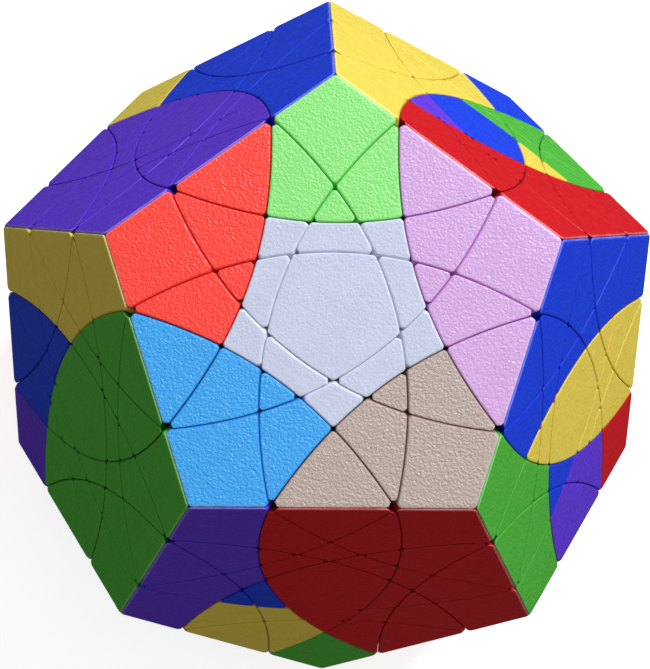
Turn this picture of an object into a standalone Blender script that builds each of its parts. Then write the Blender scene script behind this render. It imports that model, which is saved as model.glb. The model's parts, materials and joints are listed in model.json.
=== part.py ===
"""Edge-turning dodecahedron puzzle.

The solid is cut by thirty equal cones, one on the axis through the middle of each edge. Six of
those axes are perpendicular to each other. Their six caps are built as turning groups around a
core, and what stays between the caps is built as eight corner blocks on the core.

Everything is modelled with the six turning axes on X, Y and Z, and an empty then tips the whole
puzzle over so that it lies on one of its faces, with +Z out of the opposite face.
"""

import math
from itertools import combinations

import bmesh
import bpy
from mathutils import Matrix, Vector

# Outer shape and cuts, in metres.
EDGE = 0.040  # edge of the dodecahedron
CUT_SLOPE = 0.68  # rise of a cut cone for each unit of radius
CAP_CLEARANCE = 0.00025  # two perpendicular cuts would meet this far outside the corners
GAP = 0.0003  # between pieces that touch
WELD = 0.000002  # corners of a cut piece that lie closer than this become one
BALL_RADIUS = 0.0294  # round inner block of core and hubs, under the outer pieces

# Hubs, screws and springs.
HUB_FLOOR = 0.0037  # of a hub, under its spring
SHANK_RADIUS = 0.0015
SHANK_CLEARANCE = 0.00005
SCREW_INNER_END = 0.0066  # from the centre of the puzzle
HEAD_RADIUS = 0.0031
HEAD_HEIGHT = 0.0018
HEAD_RECESS = 0.0022  # from the top of the ball down to the screw's head
SOCKET_RADIUS = 0.0013
SOCKET_DEPTH = 0.0011
BORE_CLEARANCE = 0.0005  # between a screw's head and its counterbore
SPRING_LENGTH = 0.0040
SPRING_WIRE_RADIUS = 0.00028
SPRING_TURNS = 4
SPRING_SEAT_GAP = 0.00006

# How finely round things are divided.
CONE_SIDES = 40
BALL_SUBDIVISIONS = 3
HOLE_SIDES = 16
SPRING_POINTS_PER_TURN = 8

GOLDEN = (1 + math.sqrt(5)) / 2
INRADIUS = EDGE * GOLDEN**2 / (2 * math.sqrt(3 - GOLDEN))
CIRCUMRADIUS = EDGE * GOLDEN * math.sqrt(3) / 2
APEX_HEIGHT = (1 - CUT_SLOPE) * (CIRCUMRADIUS + CAP_CLEARANCE) / math.sqrt(2)
HEAD_TOP = BALL_RADIUS - HEAD_RECESS
HEAD_SEAT = HEAD_TOP - HEAD_HEIGHT
SPRING_SEAT = HEAD_SEAT - SPRING_LENGTH
HUB_FOOT = SPRING_SEAT - HUB_FLOOR
BORE_RADIUS = HEAD_RADIUS + BORE_CLEARANCE
SPRING_RADIUS = (SHANK_RADIUS + BORE_RADIUS) / 2
FAR = 2 * CIRCUMRADIUS  # cutters reach past the solid to here
BLOCK = 1.2 * INRADIUS  # half the side of a block that holds a cap's pieces
NEXT_CORNER = 1.01 * EDGE  # corners closer than this share an edge

COLOURS = {
    "white": (0.78, 0.80, 0.86),
    "blue": (0.02, 0.05, 0.45),
    "red": (0.50, 0.01, 0.03),
    "green": (0.06, 0.33, 0.06),
    "purple": (0.10, 0.04, 0.35),
    "yellow": (0.75, 0.62, 0.08),
    "grey": (0.28, 0.29, 0.31),
    "sky": (0.06, 0.36, 0.78),
    "orange": (0.90, 0.09, 0.04),
    "lime": (0.32, 0.80, 0.24),
    "pink": (0.75, 0.47, 0.78),
    "beige": (0.52, 0.40, 0.31),
    "black": (0.02, 0.02, 0.022),
    "steel": (0.55, 0.56, 0.58),
}

# The colour of each cap's edge piece, two corner pieces and two side shells.
CAP_COLOURS = {
    "a": ("red", "blue", "pink", "blue", "yellow"),
    "b": ("sky", "purple", "orange", "orange", "sky"),
    "c": ("blue", "yellow", "white", "purple", "lime"),
    "d": ("white", "green", "beige", "red", "beige"),
    "e": ("green", "sky", "orange", "white", "green"),
    "f": ("pink", "grey", "lime", "grey", "pink"),
}
LINK_CORNER_COLOURS = ("lime", "orange", "purple", "red")
PLAIN_CORNER_COLOURS = ("grey", "beige", "blue", "yellow")


# --- directions of the dodecahedron, with the six turning axes on X, Y and Z ---


def corners():
    """The twenty corners, as vectors in metres."""
    found = [Vector((x, y, z)) for x in (-1, 1) for y in (-1, 1) for z in (-1, 1)]
    for a in (-1 / GOLDEN, 1 / GOLDEN):
        for b in (-GOLDEN, GOLDEN):
            found += [Vector((0, a, b)), Vector((a, b, 0)), Vector((b, 0, a))]
    return [CIRCUMRADIUS / math.sqrt(3) * corner for corner in found]


def cut_axes(vertices):
    """The two corners of each edge, against the unit direction of its cut's axis."""
    pairs = [p for p in combinations(vertices, 2) if (p[0] - p[1]).length < NEXT_CORNER]
    return [(pair, (pair[0] + pair[1]).normalized()) for pair in pairs]


def face_normals():
    """The twelve outward unit normals."""
    found = []
    for a in (-1, 1):
        for b in (-GOLDEN, GOLDEN):
            found += [Vector((a, 0, b)), Vector((0, b, a)), Vector((b, a, 0))]
    return [normal.normalized() for normal in found]


VERTICES = corners()
CUTS = cut_axes(VERTICES)
NORMALS = face_normals()


def cut_along(direction):
    """The cut axis nearest to a direction."""
    return max((axis for _, axis in CUTS), key=direction.dot)


def cuts_at_corner(corner):
    """The axes of the three edges that meet at a corner."""
    return [axis for pair, axis in CUTS if any((v - corner).length < GAP for v in pair)]


def cuts_next_to_corner(corner):
    """The axes of the six edges that start where those three end."""
    near = cuts_at_corner(corner)
    next_corners = [v for v in VERTICES if GAP < (v - corner).length < NEXT_CORNER]
    found = [axis for v in next_corners for axis in cuts_at_corner(v)]
    return [axis for axis in found if axis not in near]


def cuts_of_face(normal):
    """The axes of a face's five edges."""
    return [axis for pair, axis in CUTS if all(normal.dot(v) > INRADIUS - GAP for v in pair)]


def cuts_beside(axis):
    """The axes of the four edges that share a corner with an edge."""
    return [other for _, other in CUTS if 0.75 < axis.dot(other) < 0.99]


# --- solids ---


def new_object(name, mesh):
    """An object in the cutters' collection; parts are moved out of it when they are done."""
    thing = bpy.data.objects.new(name, mesh)
    bpy.data.collections["cutters"].objects.link(thing)
    return thing


def object_from_bmesh(name, shape):
    bmesh.ops.recalc_face_normals(shape, faces=shape.faces)
    mesh = bpy.data.meshes.new(name)
    shape.to_mesh(mesh)
    shape.free()
    return new_object(name, mesh)


def block(inradius=INRADIUS):
    """A dodecahedron: a cube cut off by the twelve face planes."""
    shape = bmesh.new()
    bmesh.ops.create_cube(shape, size=4 * inradius)
    for normal in NORMALS:
        everything = shape.verts[:] + shape.edges[:] + shape.faces[:]
        cut = bmesh.ops.bisect_plane(
            shape, geom=everything, plane_co=inradius * normal, plane_no=normal, clear_outer=True
        )
        rim = [e for e in cut["geom_cut"] if isinstance(e, bmesh.types.BMEdge)]
        bmesh.ops.edgeloop_fill(shape, edges=rim)
    return object_from_bmesh("block", shape)


def cone(axis, grow=0.0):
    """The inside of one cut, with its surface moved outwards by grow."""
    apex = APEX_HEIGHT - grow * math.hypot(1, CUT_SLOPE)
    turn = axis.to_track_quat("Z", "Y").to_matrix().to_4x4()
    shape = bmesh.new()
    bmesh.ops.create_cone(
        shape,
        cap_ends=True,
        segments=CONE_SIDES,
        radius1=0.0,
        radius2=(FAR - apex) / CUT_SLOPE,
        depth=FAR - apex,
        matrix=turn @ Matrix.Translation((0, 0, (apex + FAR) / 2)),
    )
    return object_from_bmesh("cone", shape)


def ball(radius):
    """An icosphere, turned so that a half turn about X, Y or Z leaves its facets in place."""
    upright = Matrix.Rotation(math.pi / 2, 4, "Z")
    lean = Matrix.Rotation(math.atan(1 / GOLDEN), 4, "X")
    shape = bmesh.new()
    bmesh.ops.create_icosphere(
        shape, subdivisions=BALL_SUBDIVISIONS, radius=radius, matrix=lean @ upright
    )
    return object_from_bmesh("ball", shape)


def cylinder(radius, low, high, sides=HOLE_SIDES):
    """A cylinder on +Z between two heights."""
    shape = bmesh.new()
    bmesh.ops.create_cone(
        shape,
        cap_ends=True,
        segments=sides,
        radius1=radius,
        radius2=radius,
        depth=high - low,
        matrix=Matrix.Translation((0, 0, (low + high) / 2)),
    )
    return object_from_bmesh("cylinder", shape)


def half_space(signs):
    """A box on the stated side of each coordinate plane, half a gap away; 0 spans the plane."""
    low = [GAP / 2 if s > 0 else -FAR for s in signs]
    high = [-GAP / 2 if s < 0 else FAR for s in signs]
    middle = [(a + b) / 2 for a, b in zip(low, high)]
    size = [b - a for a, b in zip(low, high)]
    shape = bmesh.new()
    place = Matrix.Translation(middle) @ Matrix.Diagonal((*size, 1))
    bmesh.ops.create_cube(shape, size=1, matrix=place)
    return object_from_bmesh("half_space", shape)


def combine(solid, tool, operation):
    """Apply an exact Boolean to solid, weld what nearly coincides, and remove the tool."""
    modifier = solid.modifiers.new("combine", "BOOLEAN")
    modifier.operation = operation
    modifier.solver = "EXACT"
    modifier.object = tool
    result = bpy.data.meshes.new_from_object(
        solid.evaluated_get(bpy.context.evaluated_depsgraph_get())
    )
    solid.modifiers.clear()
    solid.data = result
    bpy.data.objects.remove(tool)
    shape = bmesh.new()
    shape.from_mesh(result)
    bmesh.ops.remove_doubles(shape, verts=shape.verts, dist=WELD)
    bmesh.ops.dissolve_degenerate(shape, edges=shape.edges, dist=WELD)
    shape.to_mesh(result)
    shape.free()
    return solid


def keep_inside(solid, axes, grow):
    for axis in axes:
        combine(solid, cone(axis, grow), "INTERSECT")
    return solid


def keep_outside(solid, axes, grow):
    for axis in axes:
        combine(solid, cone(axis, grow), "DIFFERENCE")
    return solid


def above_ball(solid):
    return combine(solid, ball(BALL_RADIUS + GAP), "DIFFERENCE")


# --- zones that the cuts make, shrunk to a piece (grow < 0) or grown to a cutter (grow > 0) ---


def edge_zone(start, axis, grow):
    return keep_inside(start, [axis, *cuts_beside(axis)], grow)


def corner_zone(start, corner, grow):
    keep_inside(start, cuts_at_corner(corner), grow)
    return keep_outside(start, cuts_next_to_corner(corner), -grow)


def inner_zone(start, normal, left_out, grow):
    """Keeps what lies inside a face's cuts, all but the one left out."""
    kept = [axis for axis in cuts_of_face(normal) if axis is not left_out]
    return keep_inside(start, kept, grow)


# --- the pieces of one cap, around +Z, with its edge along Y ---

CAP_AXIS = cut_along(Vector((0, 0, 1)))
CAP_CORNERS = [v for v in VERTICES if v.z > 0 and abs(v.x) < GAP and abs(v.y) < EDGE]
SIX_AXES = [cut_along(sign * Vector(row)) for row in Matrix.Identity(3) for sign in (1, -1)]


def edge_piece():
    return above_ball(edge_zone(block(), CAP_AXIS, -GAP / 2))


def cap_corner_piece():
    return above_ball(corner_zone(block(), CAP_CORNERS[0], -GAP / 2))


def end_tile_zone(corner, grow):
    """The small tile past one end of the cap's edge, in the middle of the face there."""
    normal = max(NORMALS, key=lambda n: n.dot(corner) - 10 * abs(n.x))
    far_cut = min(cuts_of_face(normal), key=CAP_AXIS.dot)
    return inner_zone(block(BLOCK), normal, far_cut, grow)


def side_shell():
    """Everything else on the cap's +X side, with the small tile past one end and not the other."""
    shell = above_ball(keep_inside(block(), [CAP_AXIS], -GAP / 2))
    combine(shell, edge_zone(block(BLOCK), CAP_AXIS, GAP / 2), "DIFFERENCE")
    for corner in CAP_CORNERS:
        combine(shell, corner_zone(block(BLOCK), corner, GAP / 2), "DIFFERENCE")
    side = half_space((1, 0, 0))
    combine(side, end_tile_zone(CAP_CORNERS[0], GAP / 2), "DIFFERENCE")
    combine(side, end_tile_zone(CAP_CORNERS[1], -GAP / 2), "UNION")
    return combine(shell, side, "INTERSECT")


def hub():
    """The round foot that carries a cap and turns on its screw."""
    solid = combine(ball(BALL_RADIUS), cone(CAP_AXIS, -GAP / 2), "INTERSECT")
    combine(solid, cylinder(FAR, -FAR, HUB_FOOT, 4), "DIFFERENCE")
    combine(solid, cylinder(SHANK_RADIUS + SHANK_CLEARANCE, 0, FAR), "DIFFERENCE")
    return combine(solid, cylinder(BORE_RADIUS, SPRING_SEAT, FAR), "DIFFERENCE")


def screw():
    """A turned screw with a hexagon socket in its head."""
    profile = [
        (0, HEAD_TOP),
        (HEAD_RADIUS, HEAD_TOP),
        (HEAD_RADIUS, HEAD_SEAT),
        (SHANK_RADIUS, HEAD_SEAT),
        (SHANK_RADIUS, SCREW_INNER_END + SHANK_RADIUS / 2),
        (SHANK_RADIUS / 2, SCREW_INNER_END),
        (0, SCREW_INNER_END),
    ]
    mesh = bpy.data.meshes.new("screw")
    points = [(x, 0, z) for x, z in profile]
    mesh.from_pydata(points, [(i, i + 1) for i in range(len(points) - 1)], [])
    solid = new_object("screw", mesh)
    turn = solid.modifiers.new("turn", "SCREW")
    turn.steps = turn.render_steps = HOLE_SIDES
    turn.use_merge_vertices = True
    turn.merge_threshold = 0.00001
    return combine(solid, cylinder(SOCKET_RADIUS, HEAD_TOP - SOCKET_DEPTH, FAR, 6), "DIFFERENCE")


def spring():
    """A coil between the hub's seat and the screw's head."""
    low = SPRING_SEAT + SPRING_WIRE_RADIUS + SPRING_SEAT_GAP
    high = HEAD_SEAT - SPRING_WIRE_RADIUS - SPRING_SEAT_GAP
    count = SPRING_TURNS * SPRING_POINTS_PER_TURN
    curve = bpy.data.curves.new("spring", "CURVE")
    curve.dimensions = "3D"
    curve.bevel_depth = SPRING_WIRE_RADIUS
    curve.bevel_resolution = 1
    curve.use_fill_caps = True
    wire = curve.splines.new("POLY")
    wire.points.add(count)
    for i, point in enumerate(wire.points):
        angle = 2 * math.pi * i / SPRING_POINTS_PER_TURN
        height = low + (high - low) * i / count
        point.co = (SPRING_RADIUS * math.cos(angle), SPRING_RADIUS * math.sin(angle), height, 1)
    coil = new_object("coil", curve)
    mesh = bpy.data.meshes.new_from_object(
        coil.evaluated_get(bpy.context.evaluated_depsgraph_get())
    )
    bpy.data.objects.remove(coil)
    shape = bmesh.new()
    shape.from_mesh(mesh)
    bmesh.ops.remove_doubles(shape, verts=shape.verts, dist=0.000001)
    return object_from_bmesh("spring", shape)


# --- what stays still ---


def core():
    """The inner block with a conical pit and a screw hole for each cap."""
    solid = keep_outside(ball(BALL_RADIUS), SIX_AXES, GAP / 2)
    for turn in CAP_TURNS.values():
        hole = cylinder(SHANK_RADIUS + SHANK_CLEARANCE, SCREW_INNER_END - GAP, FAR)
        hole.data.transform(turn)
        combine(solid, hole, "DIFFERENCE")
    return solid


def between_caps():
    """All that is left of the outer layer once the six caps are gone."""
    return above_ball(keep_outside(block(), SIX_AXES, GAP / 2))


def link_zones(corner, grow):
    """The small tile that joins this corner block to each of its three neighbours."""
    for normal in sorted(NORMALS, key=corner.dot)[-3:]:
        turning = [axis for axis in cuts_of_face(normal) if axis in SIX_AXES]
        yield inner_zone(block(BLOCK), normal, turning[0], grow)


def plain_corner():
    """A corner block at (-, -, -), without the small tiles that link it to the others."""
    solid = combine(between_caps(), half_space((-1, -1, -1)), "INTERSECT")
    for zone in link_zones(Vector((-1, -1, -1)), GAP / 2):
        combine(solid, zone, "DIFFERENCE")
    return solid


def link_corner():
    """A corner block at (+, +, +), with the small tiles on its three sides."""
    reach = half_space((1, 1, 1))
    for zone in link_zones(Vector((1, 1, 1)), -GAP / 2):
        combine(reach, zone, "UNION")
    return combine(between_caps(), reach, "INTERSECT")


# --- placing ---

HALF_TURNS = [Matrix.Identity(4)] + [Matrix.Rotation(math.pi, 4, letter) for letter in "XYZ"]
THIRD_TURN = Matrix.Rotation(2 * math.pi / 3, 4, Vector((1, 1, 1)))
CAP_TURNS = {
    "a": Matrix.Identity(4),
    "b": HALF_TURNS[1],
    "c": THIRD_TURN,
    "d": HALF_TURNS[2] @ THIRD_TURN,
    "e": THIRD_TURN.inverted(),
    "f": HALF_TURNS[1] @ THIRD_TURN.inverted(),
}


FRONT_CORNER = Vector((1, 1, 1))


def resting_turn():
    """Turns the face right of cap a's edge upright, with a corner towards +Y."""
    up = max(NORMALS, key=lambda n: n.z + n.y)
    top = [v for v in VERTICES if up.dot(v) > INRADIUS - GAP]
    towards = max(top, key=lambda v: v.dot(FRONT_CORNER))
    y = (towards - up * up.dot(towards)).normalized()
    return Matrix((y.cross(up), y, up)).to_4x4()


def material(name):
    """One shared material for each colour."""
    if name in bpy.data.materials:
        return bpy.data.materials[name]
    made = bpy.data.materials.new(name)
    made.use_nodes = True
    shader = made.node_tree.nodes["Principled BSDF"]
    shader.inputs["Base Color"].default_value = (*COLOURS[name], 1)
    shader.inputs["Roughness"].default_value = 0.3 if name == "steel" else 0.38
    shader.inputs["Metallic"].default_value = 1.0 if name == "steel" else 0.0
    made.diffuse_color = (*COLOURS[name], 1)
    return made


def finish(solid):
    """A finished piece's mesh, with its round surfaces smooth and its edges sharp."""
    mesh = solid.data
    mesh.shade_smooth()
    mesh.set_sharp_from_angle(angle=math.radians(25))
    bpy.data.objects.remove(solid)
    return mesh


def place(name, mesh, colour, parent, turn=None):
    piece = bpy.data.objects.new(name, mesh)
    piece.parent = parent
    piece.matrix_local = turn or Matrix.Identity(4)
    if not mesh.materials:
        mesh.materials.append(None)
    piece.material_slots[0].link = "OBJECT"
    piece.material_slots[0].material = material(colour)
    bpy.data.collections["dodecahedron_puzzle"].objects.link(piece)
    return piece


def add_empty(name, matrix, parent=None):
    empty = bpy.data.objects.new(name, None)
    bpy.data.collections["dodecahedron_puzzle"].objects.link(empty)
    empty.parent = parent
    empty.matrix_local = matrix
    return empty


def build_caps(puzzle):
    """Six caps, each with its pieces, hub, spring and screw."""
    makers = (edge_piece, cap_corner_piece, side_shell, hub, spring, screw)
    edge_mesh, corner_mesh, shell_mesh, hub_mesh, spring_mesh, screw_mesh = (
        finish(make()) for make in makers
    )
    for letter, turn in CAP_TURNS.items():
        cap = add_empty(f"cap_{letter}_turn", turn, puzzle)
        colours = CAP_COLOURS[letter]
        place(f"edge_piece_{letter}", edge_mesh, colours[0], cap)
        for number, half in ((1, HALF_TURNS[0]), (2, HALF_TURNS[3])):
            place(f"corner_piece_{letter}{number}", corner_mesh, colours[number], cap, half)
            place(f"side_shell_{letter}{number}", shell_mesh, colours[number + 2], cap, half)
        place(f"cap_hub_{letter}", hub_mesh, "black", cap)
        place(f"cap_spring_{letter}", spring_mesh, "steel", cap)
        place(f"cap_screw_{letter}", screw_mesh, "steel", cap)


def build_still_parts(puzzle):
    """The core and the eight corner blocks around it."""
    place("core", finish(core()), "black", puzzle)
    link_mesh = finish(link_corner())
    plain_mesh = finish(plain_corner())
    for number, turn in enumerate(HALF_TURNS):
        name = f"link_corner_{number + 1}"
        place(name, link_mesh, LINK_CORNER_COLOURS[number], puzzle, turn)
        name = f"plain_corner_{number + 1}"
        place(name, plain_mesh, PLAIN_CORNER_COLOURS[number], puzzle, turn)


def main():
    for thing in list(bpy.data.objects):
        bpy.data.objects.remove(thing)
    for name in ("dodecahedron_puzzle", "cutters"):
        bpy.context.scene.collection.children.link(bpy.data.collections.new(name))
    puzzle = add_empty("puzzle", resting_turn())
    build_caps(puzzle)
    build_still_parts(puzzle)


main()
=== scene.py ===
"""An edge-turning dodecahedron puzzle, one surface for each moulded shell.

Every face carries the same 36 shells: a pentagon centre, and five each of the trapezoids, rhombs,
triangles, left quads, right quads, edge shells and corner shells. A shell's sides lie on the conical
cuts, and its outline at every depth is solved from those cones. Six caps turn with the frame's
joints. Lengths are in metres.
"""

import itertools
import json
import math

import bpy
import numpy as np
from mathutils import Matrix, Vector


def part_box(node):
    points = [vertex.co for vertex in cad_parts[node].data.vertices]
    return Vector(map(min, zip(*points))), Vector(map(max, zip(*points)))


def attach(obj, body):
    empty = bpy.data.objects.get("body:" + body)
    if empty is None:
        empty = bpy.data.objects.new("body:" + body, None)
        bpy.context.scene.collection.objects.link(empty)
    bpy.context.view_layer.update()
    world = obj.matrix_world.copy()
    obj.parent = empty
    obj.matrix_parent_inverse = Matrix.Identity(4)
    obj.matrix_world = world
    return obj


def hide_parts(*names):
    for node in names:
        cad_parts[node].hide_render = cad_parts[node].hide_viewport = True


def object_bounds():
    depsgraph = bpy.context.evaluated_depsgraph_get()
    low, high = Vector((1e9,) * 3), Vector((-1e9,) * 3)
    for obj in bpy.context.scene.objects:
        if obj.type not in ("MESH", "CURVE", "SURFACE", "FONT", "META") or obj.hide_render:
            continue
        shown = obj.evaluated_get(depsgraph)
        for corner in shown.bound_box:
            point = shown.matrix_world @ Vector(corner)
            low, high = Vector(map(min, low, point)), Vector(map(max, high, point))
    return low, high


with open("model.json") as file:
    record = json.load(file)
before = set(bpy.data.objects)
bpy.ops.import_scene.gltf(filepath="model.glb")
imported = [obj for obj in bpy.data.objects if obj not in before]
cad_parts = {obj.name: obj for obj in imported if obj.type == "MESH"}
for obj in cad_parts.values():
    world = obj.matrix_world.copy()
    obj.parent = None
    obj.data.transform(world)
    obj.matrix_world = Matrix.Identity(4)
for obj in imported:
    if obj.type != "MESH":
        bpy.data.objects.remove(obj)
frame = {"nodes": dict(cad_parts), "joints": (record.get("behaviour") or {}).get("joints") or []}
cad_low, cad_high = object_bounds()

MM = 0.001

# --- the solid and its cuts, from the frame's size ---

INRADIUS = (cad_high[2] - cad_low[2]) / 2
GOLDEN = (1 + math.sqrt(5)) / 2
EDGE = INRADIUS * 2 * math.sqrt(3 - GOLDEN) / GOLDEN**2
CIRCUMRADIUS = EDGE * GOLDEN * math.sqrt(3) / 2
CUT_SLOPE = 0.68
CAP_CLEARANCE = 0.25 * MM
APEX_HEIGHT = (1 - CUT_SLOPE) * (CIRCUMRADIUS + CAP_CLEARANCE) / math.sqrt(2)

# --- the shells ---

SEAM = 0.07 * MM  # between two shells, across a cut
COLOUR_SEAM = 0.05 * MM  # between the shells of one edge or corner piece
CUT_RIM = 0.26 * MM  # width of the rounded rim along a cut
EDGE_RIM = 0.48 * MM  # and along an edge of the solid
RIM_DROP = 0.24 * MM  # how far a rim rolls over before the wall starts
CORNER_EXTRA = 0.33 * MM  # what a shell's corners are rounder by, seen from above
DRAFT = 0.14 * MM  # how far a wall has drawn back at its foot
SIDE_STEPS = 8
CORNER_STEPS = 3
RIM_STEPS = 5
WALL_DRAFTS = np.array([0.7, 0.85, 1.0])  # share of the draft at each level of the wall
WALL_STEPS = len(WALL_DRAFTS)
CORNER_TRIES = 14  # steps of Newton's method to a corner
SIDE_TRIES = 4  # and back onto a side
SHELL_DEPTH = 5.4 * MM
FOOT_DROP = 5.7 * MM  # from the faces down to the black feet
SETTLE = 0.02 * MM  # how deep a piece sits, on average
LEAN = 0.001  # how far a piece may tip, in radians
# How quickly the depth and the tip about each axis swing from one direction to the next.
DEPTH_WAVE = np.array([57.1, 71.3, 47.7])
TIP_WAVES = np.array([[41.3, 17.9, 29.1], [23.7, 37.3, 11.9], [13.1, 31.7, 43.9]])

# Each cut that was turned by half a turn, in order: it runs on the edge that leaves the top face
# at this corner.
SCRAMBLE = (0, 4, 3, 2, 1)


def unit(v):
    """The same direction with length 1."""
    v = np.asarray(v, float)
    return v / np.linalg.norm(v, axis=-1, keepdims=True)


def about_z(angle):
    """A turn about the vertical axis."""
    c, s = math.cos(angle), math.sin(angle)
    return np.array([[c, -s, 0], [s, c, 0], [0, 0, 1.0]])


FIFTH = 2 * math.pi / 5
TILT = math.atan(2)  # between the normals of two faces that share an edge


def face_normals():
    """Directions out of the faces: the top one, the five beside it, and the opposites of these six."""
    azimuth = np.pi / 2 - FIFTH * (np.arange(5) + 0.5)
    out, up = math.sin(TILT), math.cos(TILT)
    beside = np.column_stack([out * np.cos(azimuth), out * np.sin(azimuth), np.full(5, up)])
    half = np.vstack([[0, 0, 1.0], beside])
    return np.vstack([half, -half])


NORMALS = face_normals()
COLOURS = (
    "white", "blue", "red", "green", "purple", "yellow",
    "grey", "sky", "orange", "lime", "pink", "beige",
)


def side_axis(k):
    """Axis of the cut on the top face's edge between corners k and k + 1."""
    return unit(NORMALS[0] + NORMALS[1 + k % 5])


def spoke_axis(k):
    """Axis of the cut on the edge that leaves the top face at corner k."""
    return unit(NORMALS[1 + (k - 1) % 5] + NORMALS[1 + k % 5])


def half_turn(axis):
    """A turn by half a revolution: twice the axis times itself, less no turn at all."""
    return 2 * np.outer(axis, axis) - np.eye(3)


def in_cut(points, axis):
    """How far inside the cone on an axis the points are: height over the apex less the cone's own."""
    along = points @ axis
    return along - APEX_HEIGHT - CUT_SLOPE * np.sqrt(np.sum(points**2, -1) - along**2)


# --- the sides of a shell ---

# A side is a row: the axis, the height of its apex, its slope, 1 where the shell lies inside it or
# -1 where it lies outside, half the seam and the rim's width. A plane through the centre is a cone
# with no height and no slope.


def cut_side(axis, sign):
    return np.array([*axis, APEX_HEIGHT, CUT_SLOPE, sign, SEAM / 2, CUT_RIM])


def mitre_side(k):
    """The plane between the top face and the face beyond its edge k."""
    plane = unit(NORMALS[0] - NORMALS[1 + k % 5])
    return np.array([*plane, 0, 0, 1, COLOUR_SEAM / 2, EDGE_RIM])


def shell_sides():
    """The sides of the eight kinds of shell on the top face, in order round each."""
    a, b = side_axis, spoke_axis
    return {
        "centre": [cut_side(a(k), 1) for k in (4, 3, 2, 1, 0)],
        "trapezoid": [cut_side(a(0), -1), cut_side(a(1), 1), cut_side(b(3), -1), cut_side(a(4), 1)],
        "rhomb": [cut_side(a(2), -1), cut_side(b(1), -1), cut_side(b(0), -1), cut_side(a(3), -1)],
        "triangle": [cut_side(b(0), 1), cut_side(a(3), 1), cut_side(a(1), 1)],
        "left_quad": [cut_side(a(1), 1), cut_side(a(3), -1), cut_side(b(0), 1), cut_side(b(1), -1)],
        "right_quad": [cut_side(a(1), -1), cut_side(a(3), 1), cut_side(b(4), -1), cut_side(b(0), 1)],
        "edge": [mitre_side(0), cut_side(b(1), 1), cut_side(b(0), 1)],
        "corner": [mitre_side(0), mitre_side(4), cut_side(a(3), -1), cut_side(a(1), -1)],
    }


SHELL_SIDES = shell_sides()
# How deep the walls of a shell go. The cuts beside a triangle meet under it.
SHELL_DEPTHS = dict.fromkeys(SHELL_SIDES, SHELL_DEPTH) | {"triangle": 3.6 * MM}


def side_distance(sides, points):
    """Distance inwards from each side, in the plane of the face, and the direction it grows in.

    The height over the cone, divided by how fast it changes in the plane of the face.
    """
    axis, apex, slope, sign = sides[:, :3], sides[:, 3], sides[:, 4], sides[:, 5]
    along = np.sum(points * axis, -1)
    off = np.sqrt(np.maximum(np.sum(points**2, -1) - along**2, 1e-12))
    grow = axis[:, :2] - (slope / off)[:, None] * (points[:, :2] - along[:, None] * axis[:, :2])
    rate = np.linalg.norm(grow, axis=1)
    return sign * (along - apex - slope * off) / rate, (sign / rate)[:, None] * grow


def shell_corners(sides, start, height):
    """Where each side meets the next one, both moved inwards, by Newton's method from a start."""
    inset = sides[:, 6] + sides[:, 7] + CORNER_EXTRA
    points = np.column_stack([start, np.full(len(sides), height)])
    following = np.roll(sides, -1, axis=0)
    for _ in range(CORNER_TRIES):
        first, first_way = side_distance(sides, points)
        second, second_way = side_distance(following, points)
        ways = np.stack([first_way, second_way], 1)
        gaps = np.stack([inset - first, np.roll(inset, -1) - second], 1)
        points[:, :2] += np.linalg.solve(ways, gaps[..., None])[..., 0]
    return points[:, :2]


def spine(sides, start, height):
    """A loop of points inside a shell, the outward direction and the rim's width at each of them.

    Each side is followed from corner to corner on its own cut, moved inwards. At a corner the point
    stays and the direction swings round from one side's to the next one's.
    """
    corners = shell_corners(sides, start, height)
    share = np.linspace(0, 1, SIDE_STEPS + 1)[None, :, None]
    before = np.roll(corners, 1, axis=0)
    along = before[:, None] * (1 - share) + corners[:, None] * share
    rows = np.repeat(sides, SIDE_STEPS + 1, axis=0)
    flat = np.column_stack([along.reshape(-1, 2), np.full(len(rows), height)])
    inset = rows[:, 6] + rows[:, 7] + CORNER_EXTRA
    for _ in range(SIDE_TRIES):
        distance, way = side_distance(rows, flat)
        flat[:, :2] += (inset - distance)[:, None] * way
    way = side_distance(rows, flat)[1]
    points = flat[:, :2].reshape(len(sides), -1, 2)
    outwards = -way.reshape(len(sides), -1, 2)
    leaving, arriving = outwards[:, -1], np.roll(outwards[:, 0], -1, axis=0)
    turn = np.linspace(0, 1, CORNER_STEPS + 1)[1:-1, None]
    swing = [unit(p * (1 - turn) + q * turn) for p, q in zip(leaving, arriving)]
    held = np.repeat(corners[:, None], CORNER_STEPS - 1, axis=1)
    loop = np.concatenate([points, held], axis=1).reshape(-1, 2)
    ways = np.concatenate([outwards, np.array(swing)], axis=1).reshape(-1, 2)
    near = np.repeat(sides[:, 7:8], SIDE_STEPS + 1, axis=1)
    between = sides[:, 7:8] * (1 - turn.T) + np.roll(sides[:, 7:8], -1, axis=0) * turn.T
    return loop, ways, np.concatenate([near, between], axis=1).ravel(), corners


MIDDLE_GRID = np.linspace(-0.8, 0.8, 161) * INRADIUS


def shell_middle(sides):
    """Mean of the places on the top face that all of a shell's sides hold."""
    x, y = np.meshgrid(MIDDLE_GRID, MIDDLE_GRID)
    points = np.column_stack([x.ravel(), y.ravel(), np.full(x.size, INRADIUS)])
    held = np.ones(len(points), bool)
    for side in [*sides, *(mitre_side(k) for k in range(5))]:
        held &= side_distance(np.repeat(side[None], len(points), 0), points)[0] > 0
    return points[held].mean(0)


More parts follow.
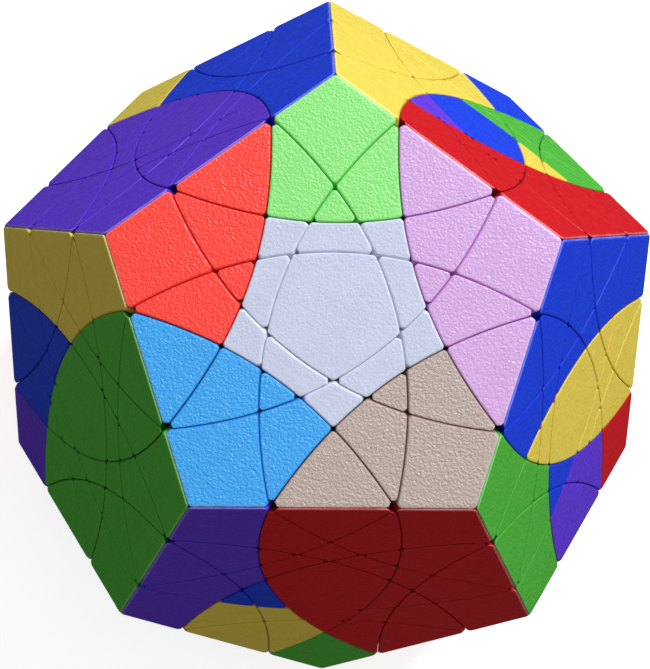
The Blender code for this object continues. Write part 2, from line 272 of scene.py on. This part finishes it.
def shell_rows(kind):
    """Rows of points of one kind of shell on the top face, from the rim down to the bottom.

    A quarter of an ellipse rolls the flat top over into the walls, and the walls follow the cuts
    down and draw back a little. With each point go three values that the plastic reads: how flat
    the top is there, how much of it is a rim on an edge of the solid, which places a painted
    highlight, and how far down in a cut it lies, which places painted shade and a rougher surface.
    """
    sides = np.array(SHELL_SIDES[kind])
    middle = shell_middle(sides)
    roll = np.linspace(0, np.pi / 2, RIM_STEPS)
    levels = RIM_DROP + np.linspace(0, 1, WALL_STEPS + 1)[1:] * (SHELL_DEPTHS[kind] - RIM_DROP)
    depths = np.concatenate([[0], RIM_DROP * (1 - np.cos(roll)), levels])
    bases = np.array([CORNER_EXTRA / 2] + [CORNER_EXTRA] * (RIM_STEPS + WALL_STEPS))
    bases[-WALL_STEPS:] -= DRAFT * WALL_DRAFTS
    on_wall = np.ones(WALL_STEPS)
    shares = np.concatenate([[0], np.sin(roll), on_wall])
    start = np.repeat(middle[None, :2], len(sides), 0)
    rows = []
    for depth, base, share in zip(depths, bases, shares):
        loop, outwards, width, start = spine(sides, start, INRADIUS - depth)
        height = np.full(len(loop), INRADIUS - depth)
        rows.append(np.column_stack([loop + (base + share * width)[:, None] * outwards, height]))
    at_edge = (width - CUT_RIM) / (EDGE_RIM - CUT_RIM)
    values = {
        "top_face": np.outer([1, *np.cos(roll) ** 2, *(0 * on_wall)], np.ones(len(width))),
        # bright_rim places a painted highlight, groove the painted shade of the cuts.
        "bright_rim": np.outer([0, *np.sin(2 * roll), *(0 * on_wall)], at_edge),
        "groove": np.outer([0, *np.sin(roll) ** 2, *on_wall], 1 - at_edge),
    }
    return np.array(rows), values, middle


# --- placing the shells on the twelve faces ---


def face_turns():
    """For each face, a turn of the whole solid that brings the top face there."""
    upper = [np.eye(3)] + [half_turn(side_axis(k)) for k in range(5)]
    over = half_turn(unit(NORMALS[1] - NORMALS[4]))
    turns = upper + [over @ turn for turn in upper]
    return sorted(turns, key=lambda turn: int(np.argmax(NORMALS @ turn[:, 2])))


def shown_colour(point, normal):
    """Colour at a place on the scrambled solid: undo each half turn, the last one first."""
    for k in reversed(SCRAMBLE):
        axis = spoke_axis(k)
        if in_cut(point, axis) > 0:
            point, normal = half_turn(axis) @ point, half_turn(axis) @ normal
    return COLOURS[int(np.argmax(NORMALS @ normal))]


def piece_direction(kind, middle):
    """The way out of the solid on which a piece sits, for one of the kinds on the top face."""
    if kind == "edge":
        return side_axis(0)
    if kind == "corner":
        return unit(NORMALS[0] + NORMALS[1] + NORMALS[5])
    return unit(middle)


def settled(rows, direction, way, middle):
    """A piece's points once it has sunk and tipped a little, by sines of its direction."""
    swing = np.sin(TIP_WAVES @ direction)
    depth = SETTLE * (1 + 0.5 * math.sin(DEPTH_WAVE @ direction))
    arm = rows - middle
    return rows + LEAN * np.cross(swing, arm) - depth * way


CAP_AXES = {j["child"]: unit(j["axis"]) for j in frame["joints"]}


def body_at(point):
    """The cap that a place on the surface belongs to, or the frame between the caps."""
    for body, axis in CAP_AXES.items():
        if in_cut(point, axis) > 0:
            return body
    return "frame"


# --- meshes ---

OBJECT = bpy.data.collections.new("dodecahedron puzzle")
bpy.context.scene.collection.children.link(OBJECT)


def loop_body(name, rows, values):
    """A closed body from loops of points, top to bottom, closed by one face at each end.

    The loops run anticlockwise seen from the top. The values are named numbers for each point.
    """
    count, around = rows.shape[:2]
    here = np.arange(around)
    following = np.roll(here, -1)
    upper = np.arange(count - 1)[:, None] * around
    lower = upper + around
    quads = np.stack([lower + here, lower + following, upper + following, upper + here], -1)
    last = (count - 1) * around + here[::-1]
    faces = [here.tolist(), *quads.reshape(-1, 4).tolist(), last.tolist()]
    mesh = bpy.data.meshes.new(name)
    mesh.from_pydata(rows.reshape(-1, 3), [], faces)
    for label, numbers in values.items():
        attribute = mesh.attributes.new(label, "FLOAT", "POINT")
        attribute.data.foreach_set("value", numbers.ravel().astype(np.float32))
    mesh.polygons.foreach_set("use_smooth", np.ones(len(mesh.polygons), bool))
    mesh.update()
    obj = bpy.data.objects.new(name, mesh)
    OBJECT.objects.link(obj)
    return obj


# --- the black feet under the shells ---

BALL_TOP = 29.7 * MM  # just clear of the round core
FOOT_GAP = 0.15 * MM
AROUND_CAP = 120
AROUND_CORNER = 28  # points on each of a corner foot's three arcs
CORNER_RUN = 4  # and between two arcs
SKEW = 0.006  # keeps two corner feet apart, in radians
ROOF_RANGE = (0.3, 0.95)  # a cut leaves the roof between these angles from its axis
ROOF_TRIES = 40
ASKEW = (0.3, 0.5, 0.8)  # a direction that no cap's axis has


def inner_solid(directions):
    """How far the inner dodecahedron under the shells reaches in each direction."""
    return (INRADIUS - FOOT_DROP) / np.max(directions @ NORMALS.T, axis=-1)


def cone_angle(radius, height):
    """Angle from the axis at which a cut is that far from the centre.

    On the cone, radius * (cos - slope * sin) is the apex height.
    """
    lead = math.hypot(1, CUT_SLOPE)
    return np.arccos(height / (radius * lead)) - math.atan(CUT_SLOPE)


def fan(axis, first, second, polar, azimuth):
    """Directions at a polar angle from an axis, with the azimuth from first towards second."""
    side = np.cos(azimuth)[..., None] * first + np.sin(azimuth)[..., None] * second
    return np.cos(polar)[..., None] * axis + np.sin(polar)[..., None] * side


def roof_angle(axis, first, second, azimuth, height):
    """Where a cut leaves the inner dodecahedron, by halving the interval."""
    low, high = (np.full(azimuth.shape, end) for end in ROOF_RANGE)
    for _ in range(ROOF_TRIES):
        middle = (low + high) / 2
        reach = inner_solid(fan(axis, first, second, middle, azimuth))
        inside = reach * (np.cos(middle) - CUT_SLOPE * np.sin(middle)) > height
        low, high = np.where(inside, middle, low), np.where(inside, high, middle)
    return low


def cap_foot_rows(axis):
    """Loops over a cap's foot: out over the roof, down the cone and in along the ball."""
    first = unit(np.cross(axis, ASKEW))
    second = np.cross(axis, first)
    azimuth = np.linspace(0, 2 * np.pi, AROUND_CAP, endpoint=False)
    height = APEX_HEIGHT + FOOT_GAP
    edge = roof_angle(axis, first, second, azimuth, height)
    rim = inner_solid(fan(axis, first, second, edge, azimuth))
    rows = []
    for share in (0.1, 0.3, 0.5, 0.7, 0.9, 1.0):
        way = fan(axis, first, second, edge * share, azimuth)
        rows.append(inner_solid(way)[:, None] * way)
    for share in (0.1, 0.4, 0.7, 1.0):
        radius = rim * (1 - share) + BALL_TOP * share
        way = fan(axis, first, second, cone_angle(radius, height), azimuth)
        rows.append(radius[:, None] * way)
    foot = cone_angle(BALL_TOP, height)
    for share in (0.85, 0.6, 0.35, 0.1):
        rows.append(BALL_TOP * fan(axis, first, second, np.full(AROUND_CAP, foot * share), azimuth))
    return np.array(rows)


def corner_foot_rows(axes):
    """Loops over the foot between three caps, whose axes are given anticlockwise.

    The loop takes a quarter of each cone in turn, with a straight run from one cone to the next.
    """
    height = APEX_HEIGHT - FOOT_GAP
    azimuth = np.linspace(np.pi / 2 - SKEW, SKEW, AROUND_CORNER)
    trios = [(axes[i], axes[(i + 1) % 3], axes[(i + 2) % 3]) for i in range(3)]
    edges = [roof_angle(*trio, azimuth, height) for trio in trios]
    rims = [inner_solid(fan(*trio, edge, azimuth)) for trio, edge in zip(trios, edges)]
    share = np.linspace(0, 1, CORNER_RUN + 2)[1:-1, None]

    def loop(level):
        radii = [rim * (1 - level) + BALL_TOP * level for rim in rims]
        arcs = [fan(*trio, cone_angle(r, height), azimuth) for trio, r in zip(trios, radii)]
        ways, reach = [], []
        for i in range(3):
            run = unit(arcs[i][-1] * (1 - share) + arcs[(i + 1) % 3][0] * share)
            ways += [arcs[i], run]
            reach += [radii[i], inner_solid(run) * (1 - level) + BALL_TOP * level]
        return np.concatenate(ways), np.concatenate(reach)

    centre = unit(np.sum(axes, axis=0))
    rows = []
    roof = loop(0)[0]
    for out in (0.08, 0.3, 0.55, 0.8):
        way = unit(centre * (1 - out) + roof * out)
        rows.append(inner_solid(way)[:, None] * way)
    for level in (0.0, 0.1, 0.4, 0.7, 1.0):
        way, reach = loop(level)
        rows.append(reach[:, None] * way)
    floor = loop(1)[0]
    for out in (0.8, 0.5, 0.25, 0.08):
        rows.append(BALL_TOP * unit(centre * (1 - out) + floor * out))
    return np.array(rows)


# --- materials ---

# Plastic of each colour: base colour, the colour down in the cuts that paints shade there (for white a
# lighter one that paints light in), how much of the grain shows, and how much light passes through it.
PLASTICS = {
    "white": ((0.58, 0.615, 0.765), (0.66, 0.70, 0.85), 0.38, 0.8),
    "blue": ((0.005, 0.052, 0.80), (0.001, 0.010, 0.45), 0.35, 0.35),
    "red": ((0.62, 0.003, 0.010), (0.30, 0.001, 0.002), 0.35, 0.35),
    "green": ((0.085, 0.50, 0.050), (0.015, 0.22, 0.008), 0.35, 0.35),
    "purple": ((0.125, 0.040, 0.74), (0.025, 0.004, 0.40), 0.35, 0.35),
    "yellow": ((0.86, 0.69, 0.100), (0.60, 0.36, 0.020), 0.30, 0.35),
    "grey": ((0.28, 0.29, 0.31), (0.10, 0.10, 0.11), 0.35, 0.35),
    "sky": ((0.050, 0.38, 0.84), (0.008, 0.14, 0.58), 0.65, 0.4),
    "orange": ((0.97, 0.064, 0.048), (0.70, 0.010, 0.006), 0.55, 0.35),
    "lime": ((0.28, 0.76, 0.22), (0.070, 0.58, 0.050), 0.50, 0.35),
    "pink": ((0.64, 0.40, 0.73), (0.52, 0.20, 0.60), 0.50, 0.5),
    "beige": ((0.49, 0.40, 0.36), (0.20, 0.11, 0.08), 0.75, 0.35),
}
RIM_HIGHLIGHT = 0.2  # painted highlight: how far a rim on an edge of the solid is lightened towards white
GLOW_DEPTH = 0.6 * MM  # how far light spreads inside the coloured plastic
GRAIN_SIZE = 0.43 * MM
GRAIN_HEIGHT = 0.26 * MM


def new_node(tree, kind, inputs=None, **settings):
    node = tree.nodes.new(kind)
    for name, value in settings.items():
        setattr(node, name, value)
    for name, value in (inputs or {}).items():
        node.inputs[name].default_value = value
    return node


def new_group(name, inputs, outputs):
    """An empty shader group; each socket is a name and its type, with a default for an input."""
    group = bpy.data.node_groups.new(name, "ShaderNodeTree")
    for label, kind, value in inputs:
        socket = group.interface.new_socket(name=label, in_out="INPUT", socket_type=kind)
        socket.default_value = value
    for label, kind in outputs:
        group.interface.new_socket(name=label, in_out="OUTPUT", socket_type=kind)
    return group, group.nodes.new("NodeGroupInput"), group.nodes.new("NodeGroupOutput")


def grain_group():
    """Spark-eroded grain: rounded bumps of two sizes, only where the mask is 1."""
    floats = [("Size", "NodeSocketFloat", GRAIN_SIZE), ("Mask", "NodeSocketFloat", 1.0)]
    group, given, result = new_group("moulded grain", floats, [("Height", "NodeSocketFloat")])
    link = group.links.new
    place = new_node(group, "ShaderNodeTexCoord")
    scale = new_node(group, "ShaderNodeMath", {0: 1.0}, operation="DIVIDE")
    link(given.outputs["Size"], scale.inputs[1])
    pebbles = new_node(
        group, "ShaderNodeTexVoronoi", {"Smoothness": 0.6}, feature="SMOOTH_F1", voronoi_dimensions="3D"
    )
    fine = new_node(group, "ShaderNodeTexNoise", {"Detail": 2.0, "Roughness": 0.55})
    finer_scale = new_node(group, "ShaderNodeMath", {1: 1.3}, operation="MULTIPLY")
    link(scale.outputs[0], finer_scale.inputs[0])
    for texture, size in ((pebbles, scale), (fine, finer_scale)):
        link(place.outputs["Object"], texture.inputs["Vector"])
        link(size.outputs[0], texture.inputs["Scale"])
    both = new_node(group, "ShaderNodeMath", operation="SUBTRACT")
    link(fine.outputs["Fac"], both.inputs[0])
    part = new_node(group, "ShaderNodeMath", {1: 0.45}, operation="MULTIPLY")
    link(pebbles.outputs["Distance"], part.inputs[0])
    link(part.outputs[0], both.inputs[1])
    masked = new_node(group, "ShaderNodeMath", operation="MULTIPLY")
    link(both.outputs[0], masked.inputs[0])
    link(given.outputs["Mask"], masked.inputs[1])
    link(masked.outputs[0], result.inputs["Height"])
    return group


def tint_group():
    """Plastic colour, a little uneven, with a painted highlight that lightens the rims on the solid's
    edges and painted shade in the cuts.
    """
    inputs = [
        ("Colour", "NodeSocketColor", (0.8, 0.8, 0.8, 1)),
        ("Groove Shade Colour", "NodeSocketColor", (0.4, 0.4, 0.4, 1)),
        ("Rim", "NodeSocketFloat", 0.0),
        ("Groove", "NodeSocketFloat", 0.0),
    ]
    group, given, result = new_group("plastic with painted highlight and shade", inputs, [("Colour", "NodeSocketColor")])
    link = group.links.new
    place = new_node(group, "ShaderNodeTexCoord")
    cloud = new_node(group, "ShaderNodeTexNoise", {"Scale": 260.0, "Detail": 3.0})
    link(place.outputs["Object"], cloud.inputs["Vector"])
    # Painted highlight: a rim on an edge of the solid is mixed towards white, by an amount that a noise
    # varies.
    highlight_spread = new_node(group, "ShaderNodeMapRange", {"From Min": 0.3, "From Max": 0.65})
    highlight_spread.inputs["To Min"].default_value, highlight_spread.inputs["To Max"].default_value = RIM_HIGHLIGHT / 2, RIM_HIGHLIGHT
    link(cloud.outputs["Fac"], highlight_spread.inputs["Value"])
    rim_highlight_amount = new_node(group, "ShaderNodeMath", operation="MULTIPLY")
    link(given.outputs["Rim"], rim_highlight_amount.inputs[0])
    link(highlight_spread.outputs["Result"], rim_highlight_amount.inputs[1])
    lighter = new_node(group, "ShaderNodeMix", data_type="RGBA")
    lighter.inputs["B"].default_value = (1, 1, 1, 1)
    link(rim_highlight_amount.outputs[0], lighter.inputs["Factor"])
    link(given.outputs["Colour"], lighter.inputs["A"])
    value = new_node(group, "ShaderNodeMapRange", {"To Min": 0.95, "To Max": 1.05})
    link(cloud.outputs["Fac"], value.inputs["Value"])
    uneven = new_node(group, "ShaderNodeHueSaturation")
    link(value.outputs["Result"], uneven.inputs["Value"])
    link(lighter.outputs["Result"], uneven.inputs["Color"])
    # Painted shade down in the cuts: the colour is mixed towards a darker one, for white towards a
    # lighter one that paints light in.
    groove_shaded = new_node(group, "ShaderNodeMix", data_type="RGBA")
    link(given.outputs["Groove"], groove_shaded.inputs["Factor"])
    link(uneven.outputs["Color"], groove_shaded.inputs["A"])
    link(given.outputs["Groove Shade Colour"], groove_shaded.inputs["B"])
    link(groove_shaded.outputs["Result"], result.inputs["Colour"])
    return group


def scuff_group():
    """Roughness with long faint scuffs, stretched along one direction."""
    inputs = [
        ("Roughness", "NodeSocketFloat", 0.3),
        ("Amount", "NodeSocketFloat", 0.1),
        ("Stretch", "NodeSocketVector", (90.0, 900.0, 1500.0)),
    ]
    group, given, result = new_group("fine scuffs", inputs, [("Roughness", "NodeSocketFloat")])
    link = group.links.new
    place = new_node(group, "ShaderNodeTexCoord")
    stretched = new_node(group, "ShaderNodeVectorMath", operation="MULTIPLY")
    link(place.outputs["Object"], stretched.inputs[0])
    link(given.outputs["Stretch"], stretched.inputs[1])
    streaks = new_node(group, "ShaderNodeTexNoise", {"Scale": 1.0, "Detail": 3.0})
    link(stretched.outputs[0], streaks.inputs["Vector"])
    centred = new_node(group, "ShaderNodeMath", {1: 0.5}, operation="SUBTRACT")
    link(streaks.outputs["Fac"], centred.inputs[0])
    added = new_node(group, "ShaderNodeMath", operation="MULTIPLY_ADD")
    link(centred.outputs[0], added.inputs[0])
    link(given.outputs["Amount"], added.inputs[1])
    link(given.outputs["Roughness"], added.inputs[2])
    link(added.outputs[0], result.inputs["Roughness"])
    return group


GRAIN, TINT, SCUFFS = grain_group(), tint_group(), scuff_group()


def new_material(name, colour, roughness, metallic=0.0):
    material = bpy.data.materials.new(name)
    material.use_nodes = True
    material.diffuse_color = (*colour, 1)
    shader = material.node_tree.nodes["Principled BSDF"]
    shader.inputs["Base Color"].default_value = (*colour, 1)
    shader.inputs["Roughness"].default_value = roughness
    shader.inputs["Metallic"].default_value = metallic
    return material, material.node_tree, shader


def place_group(tree, group, values):
    node = tree.nodes.new("ShaderNodeGroup")
    node.node_tree = group
    for name, value in values.items():
        node.inputs[name].default_value = value
    return node


def shell_plastic(name):
    """Coloured plastic, grained on the flat top of a shell and smooth on its rims and walls."""
    colour, groove_shade_colour, grain, glow = PLASTICS[name]
    material, tree, shader = new_material(f"{name} plastic", colour, 0.3)
    shader.inputs["Specular IOR Level"].default_value = 0.35
    shader.inputs["Subsurface Weight"].default_value = glow
    shader.inputs["Subsurface Radius"].default_value = (1, 1, 1)
    shader.inputs["Subsurface Scale"].default_value = GLOW_DEPTH
    link = tree.links.new

    def read(label):
        return new_node(tree, "ShaderNodeAttribute", attribute_name=label).outputs["Fac"]

    # A painted highlight on the rims along the solid's edges, and painted shade down in the cuts.
    tint = place_group(tree, TINT, {"Colour": (*colour, 1), "Groove Shade Colour": (*groove_shade_colour, 1)})
    link(read("bright_rim"), tint.inputs["Rim"])
    link(read("groove"), tint.inputs["Groove"])
    link(tint.outputs["Colour"], shader.inputs["Base Color"])
    scuffs = place_group(tree, SCUFFS, {"Roughness": 0.27, "Amount": 0.16})
    dull = new_node(tree, "ShaderNodeMath", {1: 0.3}, operation="MULTIPLY_ADD")
    link(read("groove"), dull.inputs[0])
    link(scuffs.outputs["Roughness"], dull.inputs[2])
    link(dull.outputs[0], shader.inputs["Roughness"])
    pebbled = place_group(tree, GRAIN, {"Size": GRAIN_SIZE})
    link(read("top_face"), pebbled.inputs["Mask"])
    bump = new_node(tree, "ShaderNodeBump", {"Strength": grain, "Distance": GRAIN_HEIGHT})
    link(pebbled.outputs["Height"], bump.inputs["Height"])
    link(bump.outputs["Normal"], shader.inputs["Normal"])
    return material


def inner_plastic():
    """Matt black plastic of the feet, the core and the hubs."""
    material, tree, shader = new_material("black plastic", (0.018, 0.018, 0.020), 0.5)
    scuffs = place_group(tree, SCUFFS, {"Roughness": 0.5, "Amount": 0.25})
    tree.links.new(scuffs.outputs["Roughness"], shader.inputs["Roughness"])
    pebbled = place_group(tree, GRAIN, {"Size": 0.4 * MM, "Mask": 1.0})
    bump = new_node(tree, "ShaderNodeBump", {"Strength": 0.3, "Distance": 0.02 * MM})
    tree.links.new(pebbled.outputs["Height"], bump.inputs["Height"])
    tree.links.new(bump.outputs["Normal"], shader.inputs["Normal"])
    return material


def plated_steel():
    """Bright steel of the screws and springs, with fine drawn lines."""
    material, tree, shader = new_material("plated steel", (0.56, 0.57, 0.58), 0.3, metallic=1.0)
    lines = (3000.0, 3000.0, 300.0)
    scuffs = place_group(tree, SCUFFS, {"Roughness": 0.3, "Amount": 0.35, "Stretch": lines})
    tree.links.new(scuffs.outputs["Roughness"], shader.inputs["Roughness"])
    return material


def dress(piece, material):
    piece.data.materials.clear()
    piece.data.materials.append(material)


# --- building ---

shell_materials = {name: shell_plastic(name) for name in PLASTICS}
black, steel = inner_plastic(), plated_steel()


def build_shells():
    """Each kind of shell, turned from its place on the top face to all its places on the solid."""
    turns = face_turns()
    for kind in SHELL_SIDES:
        rows, values, middle = shell_rows(kind)
        out = piece_direction(kind, middle)
        for face, turn in enumerate(turns):
            for k in range(1 if kind == "centre" else 5):
                whole = turn @ about_z(-FIFTH * k)
                direction, centre = whole @ out, whole @ middle
                way = direction if kind in ("edge", "corner") else NORMALS[face]
                points = settled(rows @ whole.T, direction, way, direction * INRADIUS)
                shell = loop_body(f"face_{face + 1:02d}_{kind}_{k + 1}", points, values)
                colour = shown_colour(centre, NORMALS[face])
                dress(shell, shell_materials[colour])
                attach(shell, body_at(centre))


def middle_of(node):
    """Middle of a node's box."""
    low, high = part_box(node)
    return np.array(low + high) / 2


def build_feet():
    """The black foot of each cap, and of each block that stays between three caps."""
    feet = []
    for body, axis in CAP_AXES.items():
        x = body[-1]
        stood_for = [f"edge_piece_{x}"]
        stood_for += [f"{part}_{x}{i}" for part in ("corner_piece", "side_shell") for i in (1, 2)]
        feet.append((f"{body}_foot", cap_foot_rows(axis), body, stood_for))
    blocks = [name for name in frame["nodes"] if "_corner_" in name]
    three = [CAP_AXES[f"cap_{x}"] for x in "ace"]
    for signs in itertools.product((1, -1), repeat=3):
        axes = [sign * axis for sign, axis in zip(signs, three)]
        if np.linalg.det(axes) < 0:
            axes.reverse()
        block = max(blocks, key=lambda name: middle_of(name) @ np.sum(axes, axis=0))
        feet.append((f"{block}_foot", corner_foot_rows(axes), "frame", [block]))
    for name, rows, body, stood_for in feet:
        foot = loop_body(name, rows, {})
        dress(foot, black)
        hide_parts(*stood_for)
        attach(foot, body)


def dress_hardware():
    """The core and the hubs are black, the screws and springs steel."""
    for name, node in frame["nodes"].items():
        metal = name.startswith(("cap_screw", "cap_spring"))
        dress(node, steel if metal else black)


# --- floor, lights and camera ---

FLOOR_REACH = 8.0
FLOOR_LINES = 5
FLOOR_GAP = 0.05 * MM
FLOOR_GLOW = 0.7
FLOOR_BOUNCE = (0.50, 0.47, 0.42)  # the floor as matt surfaces see it
FLOOR_GLOSS = (0.05, 0.05, 0.05)  # and as glossy ones do
SKY = 0.21
SKY_COLOUR = (1.0, 0.95, 0.87)
KEY_COLOUR = (0.97, 0.985, 1.0)
VIEW_TURN = Vector((0.0977, -0.0246, 0.0082))  # the camera's turn from looking straight down
VIEW_PLACE = Vector((-0.152, -0.578, 6.13)) * INRADIUS
LENS = 88.6

STAGE = bpy.data.collections.new("stage")
bpy.context.scene.collection.children.link(STAGE)


def show_to_camera(tree, others, seen, output):
    """One shader where the camera looks, and a dimmer one for the light that the stage gives back."""
    mix = new_node(tree, "ShaderNodeMixShader")
    ray = new_node(tree, "ShaderNodeLightPath")
    tree.links.new(ray.outputs["Is Camera Ray"], mix.inputs[0])
    tree.links.new(others, mix.inputs[1])
    tree.links.new(seen, mix.inputs[2])
    tree.links.new(mix.outputs[0], output.inputs["Surface"])


def lay_floor():
    """A wide flat grid, just under the face the solid lies on."""
    lines = np.linspace(-FLOOR_REACH, FLOOR_REACH, FLOOR_LINES)
    x, y = np.meshgrid(lines, lines)
    points = np.column_stack([x.ravel(), y.ravel(), np.full(x.size, cad_low[2] - FLOOR_GAP)])
    step = np.arange(FLOOR_LINES - 1)
    corner = np.add.outer(step * FLOOR_LINES, step).ravel()
    above = corner + FLOOR_LINES
    faces = np.stack([corner, corner + 1, above + 1, above], -1)
    mesh = bpy.data.meshes.new("floor")
    mesh.from_pydata(points, [], faces.tolist())
    floor = bpy.data.objects.new("floor", mesh)
    STAGE.objects.link(floor)
    material, tree, shader = new_material("floor paper", (0.93, 0.93, 0.935), 0.8)
    shader.inputs["Emission Color"].default_value = (1, 1, 1, 1)
    shader.inputs["Emission Strength"].default_value = FLOOR_GLOW
    scuffs = place_group(tree, SCUFFS, {"Roughness": 0.8, "Amount": 0.1, "Stretch": (40.0, 40.0, 40.0)})
    tree.links.new(scuffs.outputs["Roughness"], shader.inputs["Roughness"])
    bounce = new_node(tree, "ShaderNodeBsdfDiffuse")
    ray = new_node(tree, "ShaderNodeLightPath")
    soft = new_node(tree, "ShaderNodeMix", data_type="RGBA")
    soft.inputs["A"].default_value = (*FLOOR_GLOSS, 1)
    soft.inputs["B"].default_value = (*FLOOR_BOUNCE, 1)
    tree.links.new(ray.outputs["Is Diffuse Ray"], soft.inputs["Factor"])
    tree.links.new(soft.outputs["Result"], bounce.inputs["Color"])
    show_to_camera(tree, bounce.outputs[0], shader.outputs[0], tree.nodes["Material Output"])
    dress(floor, material)


def soft_light(name, place, size, power, colour=(1, 1, 1)):
    """A square area light that faces the middle of the solid."""
    light = bpy.data.lights.new(name, "AREA")
    light.shape = "SQUARE"
    light.size = size
    light.energy = power
    light.color = colour
    lamp = bpy.data.objects.new(name, light)
    outwards = Vector(place)
    lamp.matrix_world = Matrix.LocRotScale(outwards, outwards.to_track_quat("Z", "Y"), None)
    STAGE.objects.link(lamp)


def light_the_stage():
    """A dim warm sky, a wide light overhead and a smaller one from the upper right."""
    world = bpy.data.worlds.new("studio")
    bpy.context.scene.world = world
    world.use_nodes = True
    tree = world.node_tree
    sky = tree.nodes["Background"]
    sky.inputs["Color"].default_value = (*SKY_COLOUR, 1)
    sky.inputs["Strength"].default_value = SKY
    wall = new_node(tree, "ShaderNodeBackground", {"Color": (0.95, 0.95, 0.95, 1)})
    show_to_camera(tree, sky.outputs[0], wall.outputs[0], tree.nodes["World Output"])
    soft_light("fill", (0.05, 0.02, 0.80), 0.50, 0.75)
    soft_light("key", (0.34, 0.44, 0.55), 0.20, 6.8, KEY_COLOUR)


def aim_camera():
    """The camera over the top face, a little to the front."""
    lens = bpy.data.cameras.new("camera")
    lens.lens = LENS
    lens.sensor_width = 36
    camera = bpy.data.objects.new("camera", lens)
    turn = Matrix.Rotation(VIEW_TURN.length, 4, VIEW_TURN)
    camera.matrix_world = Matrix.Translation(VIEW_PLACE) @ turn
    STAGE.objects.link(camera)
    bpy.context.scene.camera = camera
    bpy.context.scene.view_settings.view_transform = "Standard"


build_shells()
build_feet()
dress_hardware()
lay_floor()
light_the_stage()
aim_camera()
